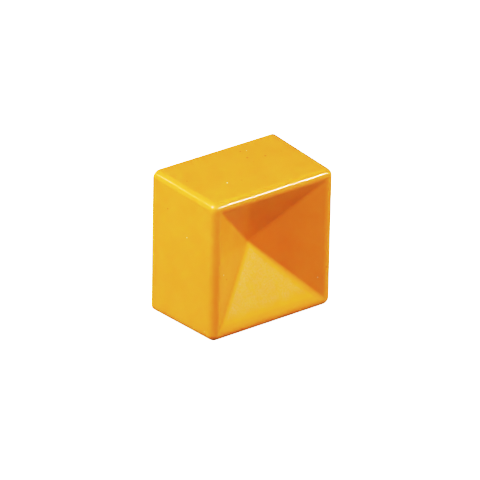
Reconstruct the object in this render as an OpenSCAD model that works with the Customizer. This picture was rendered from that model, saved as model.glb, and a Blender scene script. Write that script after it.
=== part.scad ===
// Raised marker block: an amber moulded housing with a pyramid recess in its front face,
// four prismatic reflector plates behind the facets, and a cast core closed by a base plate.
//
// Every module is drawn in the moulding frame: the bonding face lies at z = 0, the front face at
// z = depth, and y points to the block's top. stand_up() turns that into the part's own frame,
// where the block stands on one side wall, the recess looks along -Y and the bonding face along +Y.

/* [Housing] */
// Width and height of the front face, measured to its sharp corners
face_w = 50; // [48:1:80]
// Depth from the front face to the bonding face
depth = 32; // [31:1:48]
// Draft of the four side walls, in degrees, widening towards the bonding face
draft = 1.6; // [0.5:0.1:2.5]
// Radius of the outer edges and corners
edge_r = 2.6; // [1.5:0.1:3.3]
// Thickness of the side walls
wall = 2.5; // [2:0.1:2.7]
// Thickness of the front wall under the rim
front_wall = 3; // [2.9:0.1:3.5]

/* [Recess] */
// Depth of the pyramid recess at its apex
recess_depth = 14; // [12:0.5:15]
// Width of the rim around the recess
rim_w = 2.8; // [2.6:0.1:3.5]
// Radius along the creases between the facets
crease_r = 1.4; // [0.5:0.1:2]
// Thickness of the clear wall behind each facet
facet_wall = 2.2; // [1.8:0.1:2.3]

/* [Reflectors] */
// Solid thickness of a reflector plate in front of its prisms
lens_t = 1.2; // [0.8:0.1:1.5]
// Height of one row of cube-corner prisms
prism_pitch = 2.4; // [2.2:0.1:4]
// Margin between a reflector plate and the creases beside it
crease_margin = 1.4; // [1:0.1:3]
// Margin between a reflector plate and the rim, which leaves room for the seal
rim_margin = 4.6; // [4.4:0.1:6]

/* [Carrier] */
// Thickness of the carrier behind the reflector pockets
carrier_web = 1.2; // [1:0.1:1.6]
// Width of the seal that keeps the casting resin out of the air gap
seal_w = 2; // [1.2:0.1:2]

/* [Base plate] */
// Thickness of the base plate
base_t = 3; // [2.5:0.1:3.5]
// Thickness of the housing's skirt around the base plate
skirt = 1.4; // [1:0.1:1.8]
// Number of keying pockets along each side of the base plate
pocket_count = 6; // [4:2:6]
// Width of the lands between the keying pockets
land_w = 2.2; // [1.8:0.1:2.4]
// Depth of the keying pockets
pocket_depth = 1.2; // [0.8:0.1:1.4]
// Radius of the holes that the core is keyed through
key_r = 1.5; // [1:0.1:1.6]

/* [Hidden] */

gap = 0.05;              // clearance between bonded pieces
air = 0.15;              // air behind the tips of the prisms
thin = 0.01;             // thickness of the outline slices that a hull joins
back_w = face_w + 2 * depth * tan(draft);

// Facet geometry: a facet runs from the recess's rim edge down to the apex
recess_half = face_w / 2 - rim_w;
facet_tilt = atan(recess_depth / recess_half);
facet_length = norm([recess_half, recess_depth]);

// Cube-corner prisms: pyramids whose three sides stand square to each other, in rows of triangles
valley = 0.1;            // flat between two prisms
prism_border = 0.8;      // plain border of a reflector plate
prism_inner_r = prism_pitch / 3 - valley / 2;
prism_depth = prism_inner_r * sqrt(2);
prism_side = prism_pitch * 2 / sqrt(3);
plate_t = lens_t + prism_depth;

// Layers behind a facet, as distances from its visible surface
pocket_front = facet_wall + gap;
pocket_back = pocket_front + gap + plate_t + air;
carrier_back = pocket_back + carrier_web;
carrier_play = 0.15;     // clearance between the carrier and the side walls
seal_h = 1.9;
carrier_top = depth - front_wall - 3;

// Wall ribs that key the core to the housing
rib_w = 1.4;
rib_proud = 1.6;
rib_spacing = 12;
rib_top = carrier_top - 3;

// Base plate: its keying pockets leave a lattice of lands that lies in the bonding face
base_half = back_w / 2 - skirt - gap;
pocket_pitch = (2 * base_half - land_w) / pocket_count;
pocket_w = pocket_pitch - land_w;
pocket_places = [for (i = [0:pocket_count - 1]) (i - (pocket_count - 1) / 2) * pocket_pitch];
key_sink = 0.8;          // how far the countersink of a key hole widens it
key_place = 1.5;         // distance of a key hole from the middle, in pocket pitches

// Half width of the drafted body at height z
function half_at(z) = face_w / 2 + (depth - z) * tan(draft);

// Triangle of one facet, in its own plane, moved in from the rim and from both creases
function facet_triangle(from_rim, from_crease) =
    let (
        crease = norm([facet_length, recess_half]),
        reach = recess_half * facet_length - from_crease * crease,
        half_base = (reach - recess_half * from_rim) / facet_length
    )
    [[-half_base, from_rim], [half_base, from_rim], [0, reach / recess_half]];

// ---------------------------------------------------------------- shared shapes

module stand_up() {
    translate([0, depth / 2, back_w / 2]) rotate([90, 0, 0]) children();
}

module rounded_square(half, r) {
    square([2 * half, 2 * (half - r)], center = true);
    square([2 * (half - r), 2 * half], center = true);
    for (x = [-1, 1], y = [-1, 1])
        translate([x, y] * (half - r)) circle(r, $fn = 48);
}

// Drafted block between two heights, its side walls moved in by inset
module drafted_block(inset, z0, z1, r) {
    hull() {
        for (z = [z0, z1 - thin])
            translate([0, 0, z]) linear_extrude(thin) rounded_square(half_at(z) - inset, r);
    }
}

// Sharp pyramid with its faces moved back by offset behind the visible facets
module facet_pyramid(offset) {
    apex_z = depth - recess_depth - offset / cos(facet_tilt);
    height = depth + 5 - apex_z;
    translate([0, 0, apex_z]) rotate([0, 0, 45])
        cylinder(h = height, r1 = 0, r2 = height / tan(facet_tilt) * sqrt(2), $fn = 4);
}

// Places children in a facet's plane: x along the rim, y towards the apex, z out of the recess
module on_facet(turn) {
    rotate([0, 0, turn]) translate([0, -recess_half, depth]) rotate([-facet_tilt, 0, 0]) children();
}

// ---------------------------------------------------------------- housing

module outer_body() {
    front_half = face_w / 2 + edge_r * tan(draft) - edge_r / cos(draft);
    hull() {
        linear_extrude(thin) rounded_square(back_w / 2, edge_r);
        for (x = [-1, 1], y = [-1, 1])
            translate([x * front_half, y * front_half, depth - edge_r]) sphere(edge_r, $fn = 64);
    }
}

// The recess: a pyramid whose edges and apex are rounded to crease_r
module recess_void() {
    above = 6;
    apex_z = depth - recess_depth + crease_r / cos(facet_tilt);
    top_half = (depth + above - apex_z) / tan(facet_tilt);
    hull() {
        translate([0, 0, apex_z]) sphere(crease_r, $fn = 48);
        for (x = [-1, 1], y = [-1, 1])
            translate([x * top_half, y * top_half, depth + above]) sphere(crease_r, $fn = 48);
    }
}

module cavity_void() {
    drafted_block(wall, -1, depth - front_wall, edge_r);
}

// Ribs inside the side walls; grow widens them into the grooves that they leave in the core
module wall_ribs(grow = 0) {
    inner_face = half_at(rib_top) - wall - rib_proud - grow;
    for (turn = [0:90:270], x = [-1:1])
        rotate([0, 0, turn]) translate([x * rib_spacing - rib_w / 2 - grow, inner_face, base_t])
            cube([rib_w + 2 * grow, rib_proud + wall / 2, rib_top - base_t + grow]);
}

module housing() {
    color("#e8b42f") {
        difference() {
            outer_body();
            recess_void();
            difference() {
                cavity_void();
                facet_pyramid(facet_wall);
            }
            translate([0, 0, -1]) linear_extrude(base_t + 1) rounded_square(back_w / 2 - skirt, edge_r);
        }
        wall_ribs();
    }
}

// ---------------------------------------------------------------- reflectors

// True for a point of the facet's plane that lies on the plate, clear of its plain border
function on_plate(point) =
    let (
        crease = norm([facet_length, recess_half]),
        reach = recess_half * facet_length - (crease_margin + prism_border) * crease
    )
    point[1] > rim_margin + prism_border
    && facet_length * abs(point[0]) + recess_half * point[1] < reach;

function prism_corners(centre, turn) =
    [for (k = [0:2]) centre + 2 * prism_inner_r * [cos(turn + 120 * k), sin(turn + 120 * k)]];

function prism_fits(centre, turn) =
    len([for (corner = prism_corners(centre, turn)) if (on_plate(corner)) corner]) == 3;

// One prism, its tip down and its base at z = 0, sunk a little into the plate above
module prism() {
    sunk = 0.05;
    height = prism_depth + sunk;
    translate([0, 0, sunk]) mirror([0, 0, 1])
        cylinder(h = height, r1 = 2 * prism_inner_r * height / prism_depth, r2 = 0, $fn = 3);
}

// Rows of prisms that point to the apex, and between them prisms that point to the rim
module prisms() {
    rows = ceil(facet_length / prism_pitch);
    columns = ceil(recess_half / prism_side);
    for (row = [0:rows], column = [-columns:columns], flip = [0, 1]) {
        turn = flip == 0 ? 90 : -90;
        centre = [
            (column + (row % 2) / 2 + flip / 2) * prism_side,
            rim_margin + prism_border + (row + (1 + flip) / 3) * prism_pitch
        ];
        if (prism_fits(centre, turn)) translate(centre) rotate([0, 0, turn]) prism();
    }
}

module reflector(turn) {
    color("#d98a1f")
        on_facet(turn) translate([0, 0, -pocket_front - gap - lens_t]) {
            linear_extrude(lens_t) polygon(facet_triangle(rim_margin, crease_margin));
            prisms();
        }
}

// ---------------------------------------------------------------- carrier and seal

module reflector_carrier() {
    color("#f2efe6")
        difference() {
            intersection() {
                drafted_block(wall + carrier_play, base_t, carrier_top, edge_r);
                facet_pyramid(carrier_back);
            }
            facet_pyramid(pocket_front);
            for (turn = [0:90:270])
                on_facet(turn) translate([0, 0, -pocket_back])
                    linear_extrude(2 * plate_t)
                        polygon(facet_triangle(rim_margin - air, crease_margin - air));
        }
}

// Foam frame on the carrier's edge, between the facets and the side walls
module carrier_seal() {
    half = half_at(carrier_top) - wall - gap;
    color("#3c3f42")
        translate([0, 0, carrier_top + gap]) linear_extrude(seal_h)
            difference() {
                rounded_square(half - gap, edge_r);
                rounded_square(half - seal_w, edge_r - 1);
            }
}

// ---------------------------------------------------------------- core and base plate

// Key hole through the base plate, countersunk from the pocket floor
module key_shape(shrink = 0) {
    translate([0, 0, pocket_depth]) {
        cylinder(h = key_sink, r1 = key_r + key_sink - shrink, r2 = key_r - shrink, $fn = 64);
        cylinder(h = base_t - pocket_depth + gap + 0.5, r = key_r - shrink, $fn = 64);
    }
}

module at_keys() {
    for (x = [-1, 1], y = [-1, 1])
        translate([x, y, 0] * key_place * pocket_pitch) children();
}

module filler_core() {
    color("#cfc6b2") {
        difference() {
            drafted_block(wall + gap, base_t + gap, depth - front_wall, edge_r);
            facet_pyramid(carrier_back + gap);
            wall_ribs(gap);
        }
        at_keys() key_shape(0.02);
    }
}

module base_plate() {
    color("#8d9093")
        difference() {
            linear_extrude(base_t) rounded_square(base_half, edge_r - gap);
            for (x = pocket_places, y = pocket_places)
                translate([x - pocket_w / 2, y - pocket_w / 2, -1])
                    cube([pocket_w, pocket_w, pocket_depth + 1]);
            at_keys() key_shape();
        }
}

// ---------------------------------------------------------------- nodes

stand_up() housing();
stand_up() reflector(0);  // reflector_bottom
stand_up() reflector(90);  // reflector_right
stand_up() reflector(180);  // reflector_top
stand_up() reflector(270);  // reflector_left
stand_up() reflector_carrier();
stand_up() carrier_seal();
stand_up() filler_core();
stand_up() base_plate();
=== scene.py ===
"""Raised marker block: a glossy amber moulding with a pyramid recess, on a pale studio floor."""

from math import cos, hypot, pi, radians, sin, tan

import bmesh
import bpy
from mathutils import Matrix, Vector


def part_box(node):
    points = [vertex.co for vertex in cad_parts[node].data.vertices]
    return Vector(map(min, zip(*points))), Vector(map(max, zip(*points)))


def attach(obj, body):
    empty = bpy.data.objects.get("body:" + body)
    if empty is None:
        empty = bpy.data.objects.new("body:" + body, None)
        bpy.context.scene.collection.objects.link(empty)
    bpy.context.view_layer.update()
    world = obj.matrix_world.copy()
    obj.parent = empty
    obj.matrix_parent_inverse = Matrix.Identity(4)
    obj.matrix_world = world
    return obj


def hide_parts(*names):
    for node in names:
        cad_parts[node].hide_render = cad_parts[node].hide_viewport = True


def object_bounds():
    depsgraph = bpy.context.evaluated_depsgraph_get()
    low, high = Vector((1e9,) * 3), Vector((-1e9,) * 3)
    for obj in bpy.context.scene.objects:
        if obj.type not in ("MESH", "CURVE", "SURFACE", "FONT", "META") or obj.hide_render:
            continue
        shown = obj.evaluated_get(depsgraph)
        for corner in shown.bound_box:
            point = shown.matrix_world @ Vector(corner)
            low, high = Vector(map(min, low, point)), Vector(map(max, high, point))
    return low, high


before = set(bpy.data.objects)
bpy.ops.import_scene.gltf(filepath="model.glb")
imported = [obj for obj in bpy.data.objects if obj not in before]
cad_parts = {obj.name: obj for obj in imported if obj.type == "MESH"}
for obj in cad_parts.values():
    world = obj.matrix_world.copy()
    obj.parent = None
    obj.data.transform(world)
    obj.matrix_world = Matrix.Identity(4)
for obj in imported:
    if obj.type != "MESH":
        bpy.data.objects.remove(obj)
cad_lo, cad_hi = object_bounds()

MM = 0.001
BODY = "root"

# The housing's shape, as in the part's source. Its overall size comes from the frame.
DRAFT = radians(1.6)
CORNER_R = 2.6 * MM          # edges that run from front to back
RIM_R = 2.4 * MM             # edge around the front face
BACK_EDGE_R = 0.15 * MM
WALL = 2.5 * MM
FRONT_WALL = 3 * MM
RIM_W = 2.8 * MM
RECESS_DEPTH = 14 * MM
FACET_WALL = 2.2 * MM
BASE_T = 3 * MM
SKIRT = 1.4 * MM
PLATE_EDGE_R = 0.15 * MM     # eased edges of the base plate
CREASE_BLEND = 0.9 * MM      # width over which two facets blend
LIP_BLEND = 0.50 * MM        # depth over which a facet blends into the rim
LIP_ZONE = 1.1 * MM          # how far inside the rim's edge the fine rings of the lip start
CREASE_RING_R = 0.9 * MM     # corner radius of the mesh rings that cross the creases
APEX_ZONE = 1.6 * MM         # half width of the finely meshed middle of the recess
LEAD_IN = 0.1 * MM           # chamfer on the skirt's inner edge
INNER_CREASE_R = 0.3 * MM    # corner radius behind the facets

RIB_W = 1.4 * MM             # keying ribs inside the side walls
RIB_PROUD = 1.6 * MM
RIB_SPACING = 12 * MM
RIB_TOP = 23 * MM
RIB_PLACES = (-1, 0, 1)      # in spacings from the middle of a wall

CREASE_MARGIN = 1.3 * MM     # clean margins around the patch of dust and painted sheen on the lower facet
MOUTH_MARGIN = 2.6 * MM
FACET_EDGE_FADE = 1.0 * MM
RIGHT_EDGE_LEAN = 0.92       # slope of the patch's right edge; 1 would follow the crease

# Marks scattered over the amber surface: size of a cell, radius of a mark, share of cells with one
WHITE_SPECKS = (6.4 * MM, 0.34 * MM, 0.45)
DARK_PITS = (5.6 * MM, 0.42 * MM, 0.45)
FINE_PITS = (5.0 * MM, 0.16 * MM, 0.08)

# Mesh density
SIDE_STEPS = 28
CORNER_STEPS = 16
FILLET_STEPS = 14
SHARP_ANGLE = radians(35)    # edges sharper than this keep a crease in the shading
EASED_ANGLE = radians(50)    # edges of the base plate sharper than this are eased

# The camera, relative to the middle of the block
CAMERA_YAW = radians(38.12)
CAMERA_PITCH = radians(26.25)
CAMERA_ROLL = radians(1.12)
CAMERA_DISTANCE = 1.8315
CAMERA_LENS = 414.5          # millimetres, on a sensor 36 wide
SENSOR_WIDTH = 36
CAMERA_SLIDE = (-1.206 * MM, -0.384 * MM)    # to the camera's right and up

LIGHT_DISTANCE = 0.8
GLINT_DISTANCE = 0.6         # nearer, so that no other lamp stands in front of these
SOFTBOX = 0.45               # side of a large softbox
KEY_DIRECTION = (0.554, -0.657, 0.512)
WORLD_STRENGTH = 0.14
FLOOR_REACH = 6

# The camera's response: (light that reaches it, light it shows), both linear
WHITE_LEVEL = 4.5
RESPONSE = (
    (0, 0), (0.12, 0.024), (0.3, 0.055), (0.5, 0.13), (1.0, 0.42), (1.5, 0.66), (2.2, 0.775), (4.5, 1),
)

housing_lo, housing_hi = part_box("housing")
DEPTH = housing_hi.y - housing_lo.y
BACK_HALF = (housing_hi.x - housing_lo.x) / 2
FACE_HALF = BACK_HALF - DEPTH * tan(DRAFT)
RECESS_HALF = FACE_HALF - RIM_W
FACET_SLOPE = RECESS_DEPTH / RECESS_HALF
MIDDLE = (cad_lo + cad_hi) / 2


def half_at(height):
    """Half width of the drafted walls at a height above the bonding face."""
    return FACE_HALF + (DEPTH - height) * tan(DRAFT)


def to_frame(x, y, height):
    """Moulding frame (height above the bonding face, y to the block's top) to the part's frame."""
    return Vector((MIDDLE.x + x, housing_hi.y - height, MIDDLE.z + y))


# ---------------------------------------------------------------- housing mesh


def smooth_max(a, b, blend):
    """The larger of two values, rounded over where they are about equal."""
    return max(a, b) + max(blend - abs(a - b), 0) ** 2 / (4 * blend)


def front_height(x, y):
    """Height of the front: flat rim, rounded lip, four facets with rounded creases and apex."""
    across = smooth_max(x, -x, CREASE_BLEND)
    along = smooth_max(y, -y, CREASE_BLEND)
    facet = DEPTH - RECESS_DEPTH + FACET_SLOPE * smooth_max(across, along, CREASE_BLEND)
    return -smooth_max(-facet, -DEPTH, LIP_BLEND)


def square_ring(half, corner):
    """Points of a rounded square, counter-clockwise, as many for every size."""
    points = []
    straight = half - corner
    for turn in range(4):
        c, s = cos(turn * pi / 2), sin(turn * pi / 2)
        ring = [(half, straight * (2 * i / SIDE_STEPS - 1)) for i in range(SIDE_STEPS)]
        for i in range(CORNER_STEPS):
            angle = i / CORNER_STEPS * pi / 2
            ring.append((straight + corner * cos(angle), straight + corner * sin(angle)))
        points += [(c * x - s * y, s * x + c * y) for x, y in ring]
    return points


def level_ring(half, corner, height):
    """A rounded square at one height."""
    return [to_frame(x, y, height) for x, y in square_ring(half, corner)]


def steps(start, end, count):
    """count values from start to end, with start left out."""
    return [start + (end - start) * (i + 1) / count for i in range(count)]


def front_rings(outer_half, outer_corner):
    """Rings on the recess and the rim, from near the apex out to the rim fillet."""
    near_apex = steps(0, APEX_ZONE, 8)
    facets = steps(APEX_ZONE, RECESS_HALF - LIP_ZONE, 34)
    lip = steps(RECESS_HALF - LIP_ZONE, outer_half - 0.02 * MM, 18)
    rings = []
    for half in near_apex + facets + lip:
        corner = min(CREASE_RING_R, 0.96 * half)
        past_lip = max(0, (half - RECESS_HALF) / (outer_half - RECESS_HALF))
        corner += (outer_corner - corner) * past_lip
        rings.append([to_frame(x, y, front_height(x, y)) for x, y in square_ring(half, corner)])
    return rings


def fillet_rings(centre_half, centre_height, radius, corner, start, end, count):
    """Rings around an outer edge; the angles are those of the surface's normal."""
    rings = []
    for i in range(count + 1):
        angle = start + (end - start) * i / count
        out = radius * cos(angle)
        height = centre_height + radius * sin(angle)
        rings.append(level_ring(centre_half + out, corner - radius + out, height))
    return rings


def wall_rings(start, end, corner, inset, count):
    """Rings up or down a drafted wall, without its two end rings."""
    heights = [start + (end - start) * i / (count + 1) for i in range(1, count + 1)]
    return [level_ring(half_at(height) - inset, corner, height) for height in heights]


def outer_rings():
    """The front, the rim's fillet, the drafted walls and the back edge."""
    rim_centre = FACE_HALF + RIM_R * tan(DRAFT) - RIM_R / cos(DRAFT)
    back_centre = half_at(BACK_EDGE_R) - BACK_EDGE_R / cos(DRAFT)
    rings = front_rings(rim_centre, CORNER_R - RIM_R)
    rings += fillet_rings(rim_centre, DEPTH - RIM_R, RIM_R, CORNER_R, pi / 2, DRAFT, FILLET_STEPS)
    rings += wall_rings(DEPTH - RIM_R, BACK_EDGE_R, CORNER_R, 0, 9)
    rings += fillet_rings(back_centre, BACK_EDGE_R, BACK_EDGE_R, CORNER_R, DRAFT, -pi / 2, 4)
    return rings


def inner_rings():
    """The skirt, the ledge under the base plate, the cavity's walls and the facets' backs."""
    skirt_half = BACK_HALF - SKIRT
    ceiling = DEPTH - FRONT_WALL
    apex = DEPTH - RECESS_DEPTH - FACET_WALL * hypot(1, FACET_SLOPE)
    rings = [
        level_ring(skirt_half + LEAD_IN, CORNER_R + LEAD_IN, 0),
        level_ring(skirt_half, CORNER_R, LEAD_IN),
        level_ring(skirt_half, CORNER_R, BASE_T),
        level_ring(half_at(BASE_T) - WALL, CORNER_R, BASE_T),
    ]
    rings += wall_rings(BASE_T, ceiling, CORNER_R, WALL, 5)
    rings.append(level_ring(half_at(ceiling) - WALL, CORNER_R, ceiling))
    for height in [ceiling] + steps(ceiling, apex, 16)[:-1]:
        half = (height - apex) / FACET_SLOPE
        rings.append(level_ring(half, min(INNER_CREASE_R, half / 2), height))
    return rings, to_frame(0, 0, apex)


def loft(bm, rings, first, last):
    """Closed surface through the rings, with a fan of triangles at each end."""
    loops = [[bm.verts.new(point) for point in ring] for ring in rings]
    count = len(loops[0])
    start, end = bm.verts.new(first), bm.verts.new(last)
    for i in range(count):
        j = (i + 1) % count
        bm.faces.new((start, loops[0][i], loops[0][j]))
        bm.faces.new((end, loops[-1][j], loops[-1][i]))
        for inner, outer in zip(loops, loops[1:]):
            bm.faces.new((inner[i], outer[i], outer[j], inner[j]))


def make_piece(name, bm, material, node):
    """Turns a mesh into a piece that stands for a CAD node."""
    bmesh.ops.recalc_face_normals(bm, faces=bm.faces)
    mesh = bpy.data.meshes.new(name)
    bm.to_mesh(mesh)
    bm.free()
    mesh.shade_smooth()
    mesh.set_sharp_from_angle(angle=SHARP_ANGLE)
    mesh.materials.append(material)
    piece = bpy.data.objects.new(name, mesh)
    bpy.context.scene.collection.objects.link(piece)
    normals = piece.modifiers.new("flat_faces", "WEIGHTED_NORMAL")
    normals.keep_sharp = True
    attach(piece, BODY)
    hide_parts(node)
    return piece


def rib_mesh():
    """Twelve closed bars, three on each wall, that reach halfway into the wall."""
    bm = bmesh.new()
    inner = half_at(RIB_TOP) - WALL - RIB_PROUD
    outer = inner + RIB_PROUD + WALL / 2
    for turn in range(4):
        c, s = cos(turn * pi / 2), sin(turn * pi / 2)
        for i in RIB_PLACES:
            corners = []
            for height in (BASE_T, RIB_TOP):
                for across, out in ((-1, inner), (1, inner), (1, outer), (-1, outer)):
                    x = i * RIB_SPACING + across * RIB_W / 2
                    corners.append(bm.verts.new(to_frame(c * x - s * out, s * x + c * out, height)))
            bm.faces.new(corners[:4])
            bm.faces.new(corners[4:])
            for k in range(4):
                j = (k + 1) % 4
                bm.faces.new((corners[k], corners[j], corners[4 + j], corners[4 + k]))
    bmesh.ops.recalc_face_normals(bm, faces=bm.faces)
    return bm


def join_ribs(bm):
    """Fuses the ribs to the shell."""
    scene = bpy.context.scene
    objects = []
    for name, part in (("shell_blank", bm), ("rib_blank", rib_mesh())):
        bmesh.ops.recalc_face_normals(part, faces=part.faces)
        mesh = bpy.data.meshes.new(name)
        part.to_mesh(mesh)
        part.free()
        objects.append(bpy.data.objects.new(name, mesh))
        scene.collection.objects.link(objects[-1])
    shell, ribs = objects
    union = shell.modifiers.new("union", "BOOLEAN")
    union.operation = "UNION"
    union.solver = "EXACT"
    union.object = ribs
    evaluated = shell.evaluated_get(bpy.context.evaluated_depsgraph_get())
    joined = bmesh.new()
    joined.from_mesh(evaluated.to_mesh())
    evaluated.to_mesh_clear()
    for blank in objects:
        bpy.data.objects.remove(blank)
    return joined


def make_housing(material):
    bm = bmesh.new()
    inner, inner_apex = inner_rings()
    loft(bm, outer_rings() + inner, to_frame(0, 0, front_height(0, 0)), inner_apex)
    return make_piece("housing_shell", join_ribs(bm), material, "housing")


def make_base_plate(material):
    """The CAD base plate with its sharp edges eased."""
    bm = bmesh.new()
    bm.from_mesh(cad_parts["base_plate"].data)
    bmesh.ops.remove_doubles(bm, verts=bm.verts, dist=0.001 * MM)
    bmesh.ops.dissolve_limit(bm, angle_limit=radians(1), verts=bm.verts, edges=bm.edges)
    edges = [edge for edge in bm.edges if edge.is_manifold and edge.calc_face_angle() > EASED_ANGLE]
    bmesh.ops.bevel(
        bm, geom=edges, offset=PLATE_EDGE_R, segments=2, profile=0.5, affect="EDGES", clamp_overlap=False,
    )
    return make_piece("base_plate_moulding", bm, material, "base_plate")


# ---------------------------------------------------------------- materials


class Nodes:
    """Short calls for building one material's node tree."""

    def __init__(self, name):
        self.material = bpy.data.materials.new(name)
        self.material.use_nodes = True
        self.tree = self.material.node_tree
        self.tree.nodes.clear()
        self.output = self.tree.nodes.new("ShaderNodeOutputMaterial")
        self.place = self.tree.nodes.new("ShaderNodeTexCoord").outputs["Object"]

    def add(self, kind, inputs=None, **settings):
        node = self.tree.nodes.new("ShaderNode" + kind)
        for key, value in settings.items():
            setattr(node, key, value)
        for key, value in (inputs or {}).items():
            self.plug(value, node.inputs[key])
        return node

    def plug(self, value, socket):
        if isinstance(value, bpy.types.NodeSocket):
            self.tree.links.new(value, socket)
        else:
            socket.default_value = value

    def math(self, operation, a, b=0.0):
        return self.add("Math", {0: a, 1: b}, operation=operation).outputs[0]

    def noise(self, size, detail=2.0):
        """Noise from 0 to 1 whose features are about size metres across."""
        inputs = {"Vector": self.place, "Scale": 1 / size, "Detail": detail}
        return self.add("TexNoise", inputs).outputs["Fac"]

    def span(self, value, low, high, to_low=0.0, to_high=1.0):
        """Maps low..high to to_low..to_high, and holds the ends beyond it."""
        inputs = {"Value": value, "From Min": low, "From Max": high}
        inputs.update({"To Min": to_low, "To Max": to_high})
        return self.add("MapRange", inputs).outputs["Result"]

    def mix(self, factor, a, b):
        node = self.add("Mix", {0: factor}, data_type="RGBA")
        self.plug(a, node.inputs[6])
        self.plug(b, node.inputs[7])
        return node.outputs[2]

    def bump(self, height, distance, strength):
        inputs = {"Height": height, "Distance": distance, "Strength": strength}
        return self.add("Bump", inputs).outputs["Normal"]

    def finish(self, **inputs):
        """Plugs the inputs into the surface shader; an underscore stands for a space."""
        named = {key.replace("_", " "): value for key, value in inputs.items()}
        shader = self.add("BsdfPrincipled", named)
        self.tree.links.new(shader.outputs[0], self.output.inputs["Surface"])
        return self.material


def lower_facet(n, crease_margin, mouth_margin, wave):
    """1 on the lower facet inside the given margins, whose right and mouth edges are wavy."""
    axes = n.add("SeparateXYZ", {"Vector": n.place}).outputs
    down = n.math("SUBTRACT", MIDDLE.z, axes["Z"])
    from_left = n.math("ADD", down, axes["X"])
    short_of_crease = n.math("MULTIPLY", down, RIGHT_EDGE_LEAN)
    from_right = n.math("SUBTRACT", n.math("SUBTRACT", short_of_crease, axes["X"]), wave)
    from_mouth = n.math("ADD", n.math("SUBTRACT", RECESS_HALF, down), wave)
    area = n.span(from_left, crease_margin, crease_margin + FACET_EDGE_FADE)
    area = n.math("MULTIPLY", area, n.span(from_right, crease_margin, crease_margin + FACET_EDGE_FADE))
    area = n.math("MULTIPLY", area, n.span(from_mouth, mouth_margin, mouth_margin + 2 * FACET_EDGE_FADE))
    return area, from_left


def dust_and_sheen_patch(n):
    """How strong the dust and its painted sheen are on the lower facet: clean at its edges, strongest
    along the left crease.
    """
    wave = n.span(n.noise(4 * MM, 3), 0.3, 0.7, -0.8 * MM, 0.8 * MM)
    patch, from_left = lower_facet(n, CREASE_MARGIN, MOUTH_MARGIN, wave)
    stronger_at_left = n.span(from_left, CREASE_MARGIN + 5 * FACET_EDGE_FADE, CREASE_MARGIN + FACET_EDGE_FADE, 0.75, 1.0)
    blotches = n.span(n.noise(2.2 * MM, 3), 0.35, 0.65, 0.6, 1.0)
    grain = n.span(n.noise(0.6 * MM, 3), 0.35, 0.65, 0.35, 1.0)
    for part in (stronger_at_left, blotches, grain):
        patch = n.math("MULTIPLY", patch, part)
    return patch


def sparse_spots(n, spacing, radius, share):
    """1 inside round spots of the given radius, in a share of the cells of a spacing-sized grid."""
    cells = n.add("TexVoronoi", {"Vector": n.place, "Scale": 1 / spacing, "Randomness": 0.9}).outputs
    chosen = n.math("LESS_THAN", n.add("SeparateXYZ", {"Vector": cells["Color"]}).outputs["X"], share)
    spot = n.span(cells["Distance"], radius / spacing, 0.6 * radius / spacing)
    return n.math("MULTIPLY", chosen, spot)


def amber_plastic():
    """Glossy moulded amber: faint flow marks, orange peel, a few specks, and dust in the recess whose
    pale colour is partly a painted sheen; the recess's lower facet is painted yellower as painted light.
    """
    n = Nodes("amber_plastic")
    flow = n.span(n.noise(9 * MM, 3), 0.3, 0.7)
    color = n.mix(flow, (0.88, 0.355, 0.042, 1), (0.90, 0.375, 0.048, 1))
    # The lower facet, which faces up into the lamps, is painted yellower than the rest of the amber:
    # painted light.
    painted_light_facet, _ = lower_facet(n, 0, 0, 0)
    color = n.mix(painted_light_facet, color, (0.92, 0.42, 0.045, 1))
    # Pale dust on the lower facet; its paler colour also stands in for the key light's blurred reflection
    # there: a painted sheen.
    dust_and_sheen = dust_and_sheen_patch(n)
    color = n.mix(n.math("MULTIPLY", dust_and_sheen, 0.75), color, (0.93, 0.48, 0.28, 1))
    pits = n.math("MAXIMUM", sparse_spots(n, *DARK_PITS), sparse_spots(n, *FINE_PITS))
    color = n.mix(pits, color, (0.74, 0.24, 0.03, 1))
    color = n.mix(sparse_spots(n, *WHITE_SPECKS), color, (1.0, 0.86, 0.80, 1))
    smooth = n.span(n.noise(3 * MM, 4), 0.3, 0.7, 0.058, 0.066)
    roughness = n.math("ADD", smooth, n.math("MULTIPLY", dust_and_sheen, 0.02))
    normal = n.bump(n.noise(1.6 * MM, 2), 0.01 * MM, 0.1)
    return n.finish(
        Base_Color=color,
        Roughness=roughness,
        Normal=normal,
        IOR=1.49,
        Subsurface_Weight=0.25,
        Subsurface_Radius=(1.0, 0.35, 0.08),
        Subsurface_Scale=0.9 * MM,
    )


def prism_acrylic(name):
    """Clear-looking amber acrylic: brighter where light comes back from the prisms."""
    n = Nodes(name)
    cells = n.add("TexVoronoi", {"Vector": n.place, "Scale": 1 / (2.4 * MM)}).outputs["Distance"]
    color = n.mix(n.span(cells, 0.1, 0.7), (0.80, 0.26, 0.025, 1), (0.64, 0.15, 0.015, 1))
    roughness = n.span(n.noise(2 * MM, 3), 0.3, 0.7, 0.05, 0.12)
    return n.finish(Base_Color=color, Roughness=roughness, IOR=1.49, Coat_Weight=0.3, Coat_Roughness=0.04)


def white_plastic():
    n = Nodes("white_carrier")
    color = n.mix(n.span(n.noise(7 * MM, 3), 0.3, 0.7), (0.83, 0.81, 0.72, 1), (0.87, 0.85, 0.78, 1))
    roughness = n.span(n.noise(0.8 * MM, 4), 0.3, 0.7, 0.40, 0.55)
    normal = n.bump(n.noise(0.35 * MM, 3), 0.02 * MM, 0.3)
    return n.finish(Base_Color=color, Roughness=roughness, Normal=normal, IOR=1.5)


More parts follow.
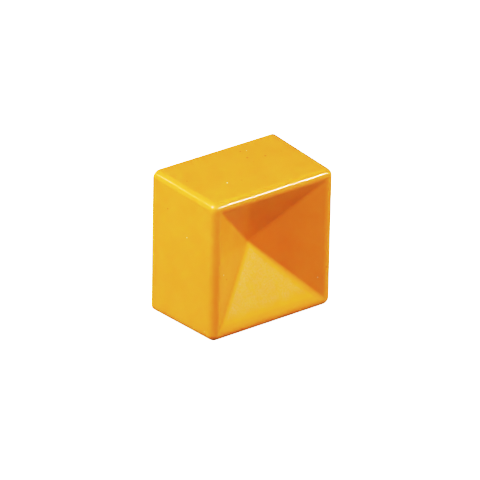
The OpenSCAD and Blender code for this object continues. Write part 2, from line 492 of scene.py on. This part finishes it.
def foam():
    """Closed-cell foam: painted shade darkens the pits between the cells' skins."""
    n = Nodes("seal_foam")
    cells = n.add("TexVoronoi", {"Vector": n.place, "Scale": 1 / (0.35 * MM)}).outputs["Distance"]
    # Darker where the cells dip into pits: painted shade.
    color = n.mix(n.span(cells, 0.1, 0.6), (0.012, 0.013, 0.015, 1), (0.030, 0.032, 0.036, 1))
    normal = n.bump(cells, 0.08 * MM, 0.6)
    return n.finish(Base_Color=color, Roughness=0.9, Normal=normal)


def sand_resin():
    """Resin filled with sand: grains of several colours in a tan binder."""
    n = Nodes("sand_resin")
    grains = n.add("TexVoronoi", {"Vector": n.place, "Scale": 1 / (0.6 * MM)}).outputs
    shade = n.add("SeparateXYZ", {"Vector": grains["Color"]}).outputs
    color = n.mix(shade["X"], (0.26, 0.20, 0.12, 1), (0.46, 0.40, 0.29, 1))
    dark_grains = n.math("LESS_THAN", shade["Y"], 0.12)
    color = n.mix(dark_grains, color, (0.10, 0.085, 0.065, 1))
    roughness = n.span(shade["Z"], 0, 1, 0.55, 0.85)
    normal = n.bump(grains["Distance"], 0.12 * MM, 0.5)
    return n.finish(Base_Color=color, Roughness=roughness, Normal=normal)


def grey_moulding():
    """Matt glass-filled grey: fine texture, pale fibre flecks and a little mould-release bloom."""
    n = Nodes("grey_base")
    bloom = n.span(n.noise(8 * MM, 4), 0.35, 0.75)
    color = n.mix(bloom, (0.12, 0.13, 0.14, 1), (0.22, 0.23, 0.24, 1))
    flecks = n.span(n.noise(0.25 * MM, 2), 0.58, 0.70, 0, 0.5)
    color = n.mix(flecks, color, (0.42, 0.43, 0.44, 1))
    roughness = n.span(n.noise(1.2 * MM, 4), 0.3, 0.7, 0.48, 0.68)
    normal = n.bump(n.noise(0.3 * MM, 3), 0.03 * MM, 0.5)
    return n.finish(Base_Color=color, Roughness=roughness, Normal=normal, IOR=1.5)


def set_material(node, material):
    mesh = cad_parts[node].data
    mesh.materials.clear()
    mesh.materials.append(material)


# ---------------------------------------------------------------- studio


def make_camera():
    """Looks along yaw and pitch at the middle of the block, rolled and slid a little."""
    ahead = Vector((sin(CAMERA_YAW), cos(CAMERA_YAW), 0))
    forward = ahead * cos(CAMERA_PITCH) - Vector((0, 0, sin(CAMERA_PITCH)))
    level_right = Vector((cos(CAMERA_YAW), -sin(CAMERA_YAW), 0))
    level_up = level_right.cross(forward)
    right = level_right * cos(CAMERA_ROLL) + level_up * sin(CAMERA_ROLL)
    up = level_up * cos(CAMERA_ROLL) - level_right * sin(CAMERA_ROLL)
    place = MIDDLE - forward * CAMERA_DISTANCE + right * CAMERA_SLIDE[0] + up * CAMERA_SLIDE[1]
    data = bpy.data.cameras.new("camera")
    data.lens = CAMERA_LENS
    data.sensor_width = SENSOR_WIDTH
    data.clip_start = 0.05
    camera = bpy.data.objects.new("camera", data)
    turn = Matrix((right, up, -forward)).transposed()
    camera.matrix_world = Matrix.Translation(place) @ turn.to_4x4()
    bpy.context.scene.collection.objects.link(camera)
    bpy.context.scene.camera = camera


def add_light(distance, name, direction, power, width, height=None):
    """Softbox that faces the middle of the block; height is its upright size."""
    data = bpy.data.lights.new(name, "AREA")
    data.shape = "RECTANGLE"
    data.size = width
    data.size_y = height or width
    data.energy = power
    light = bpy.data.objects.new(name, data)
    towards = Vector(direction).normalized()
    light.location = MIDDLE + towards * distance
    light.rotation_euler = towards.to_track_quat("Z", "Y").to_euler()
    bpy.context.scene.collection.objects.link(light)
    return light


def fill_light(*settings):
    """Lights the surface, but isn't mirrored in its gloss."""
    add_light(LIGHT_DISTANCE, *settings).visible_glossy = False


def glint_light(*settings):
    """Is only seen mirrored in the gloss, as a highlight."""
    add_light(GLINT_DISTANCE, *settings).visible_diffuse = False


def make_lights():
    """Each light: name, direction from the block, power in watts, width and, where given, height."""
    fill_light("key", KEY_DIRECTION, 4.5, 0.10)
    fill_light("front", (0.25, -0.80, 0.54), 11.6, SOFTBOX)
    fill_light("front_left", (-0.35, -0.67, 0.66), 2.1, SOFTBOX)
    fill_light("left_back", (-0.76, 0.31, 0.57), 17.3, SOFTBOX)
    fill_light("left", (-0.98, 0.04, 0.20), 6.4, SOFTBOX)
    fill_light("right", (1, 0, 0.15), 1.3, SOFTBOX)
    fill_light("low_right", (0.82, -0.07, -0.57), 3.2, SOFTBOX)
    fill_light("low_left", (-0.89, 0.24, -0.39), 0.35, SOFTBOX)
    fill_light("back", (0.30, 0.95, -0.02), 7, SOFTBOX)
    glint_light("key_strip", KEY_DIRECTION, 6, 0.20, 0.025)
    glint_light("ridge_glow", (-0.442, 0.7055, 0.553), 0.75, 0.20, 0.022)
    glint_light("corner_spark", (-0.64, 0.26, 0.71), 28, 0.03)


def make_world():
    world = bpy.data.worlds.new("studio")
    world.use_nodes = True
    background = world.node_tree.nodes["Background"]
    background.inputs["Color"].default_value = (1, 1, 1, 1)
    background.inputs["Strength"].default_value = WORLD_STRENGTH
    bpy.context.scene.world = world


def make_floor():
    """A plain pale floor that shines by itself, so that it stays as white as the backdrop."""
    n = Nodes("pale_floor")
    material = n.finish(
        Base_Color=(0.9, 0.9, 0.9, 1), Roughness=0.9, Specular_IOR_Level=0.0,
        Emission_Color=(1, 1, 1, 1), Emission_Strength=WHITE_LEVEL,
    )
    mesh = bpy.data.meshes.new("floor")
    corners = [(x * FLOOR_REACH, y * FLOOR_REACH, 0) for x, y in ((-1, -1), (1, -1), (1, 1), (-1, 1))]
    mesh.from_pydata(corners, [], [(0, 1, 2, 3)])
    mesh.materials.append(material)
    floor = bpy.data.objects.new("floor", mesh)
    floor.location.z = cad_lo.z
    floor.visible_diffuse = False
    floor.visible_glossy = False
    floor.visible_shadow = False
    bpy.context.scene.collection.objects.link(floor)


def set_view():
    """A contrasty response with a soft shoulder: amber goes orange in shade and yellow in light."""
    settings = bpy.context.scene.view_settings
    settings.view_transform = "Standard"
    settings.look = "None"
    settings.exposure = 0
    settings.gamma = 1
    settings.use_curve_mapping = True
    mapping = settings.curve_mapping
    mapping.white_level = [WHITE_LEVEL] * 3
    points = mapping.curves[3].points
    while len(points) < len(RESPONSE):
        points.new(0.5, 0.5)
    for point, (light, shown) in zip(points, RESPONSE):
        point.location = (light / WHITE_LEVEL, shown)
    mapping.update()


set_view()
make_camera()
make_world()
make_lights()
make_floor()
make_housing(amber_plastic())
make_base_plate(grey_moulding())
acrylic = prism_acrylic("amber_prism")
for side in ("bottom", "right", "top", "left"):
    set_material("reflector_" + side, acrylic)
set_material("reflector_carrier", white_plastic())
set_material("carrier_seal", foam())
set_material("filler_core", sand_resin())
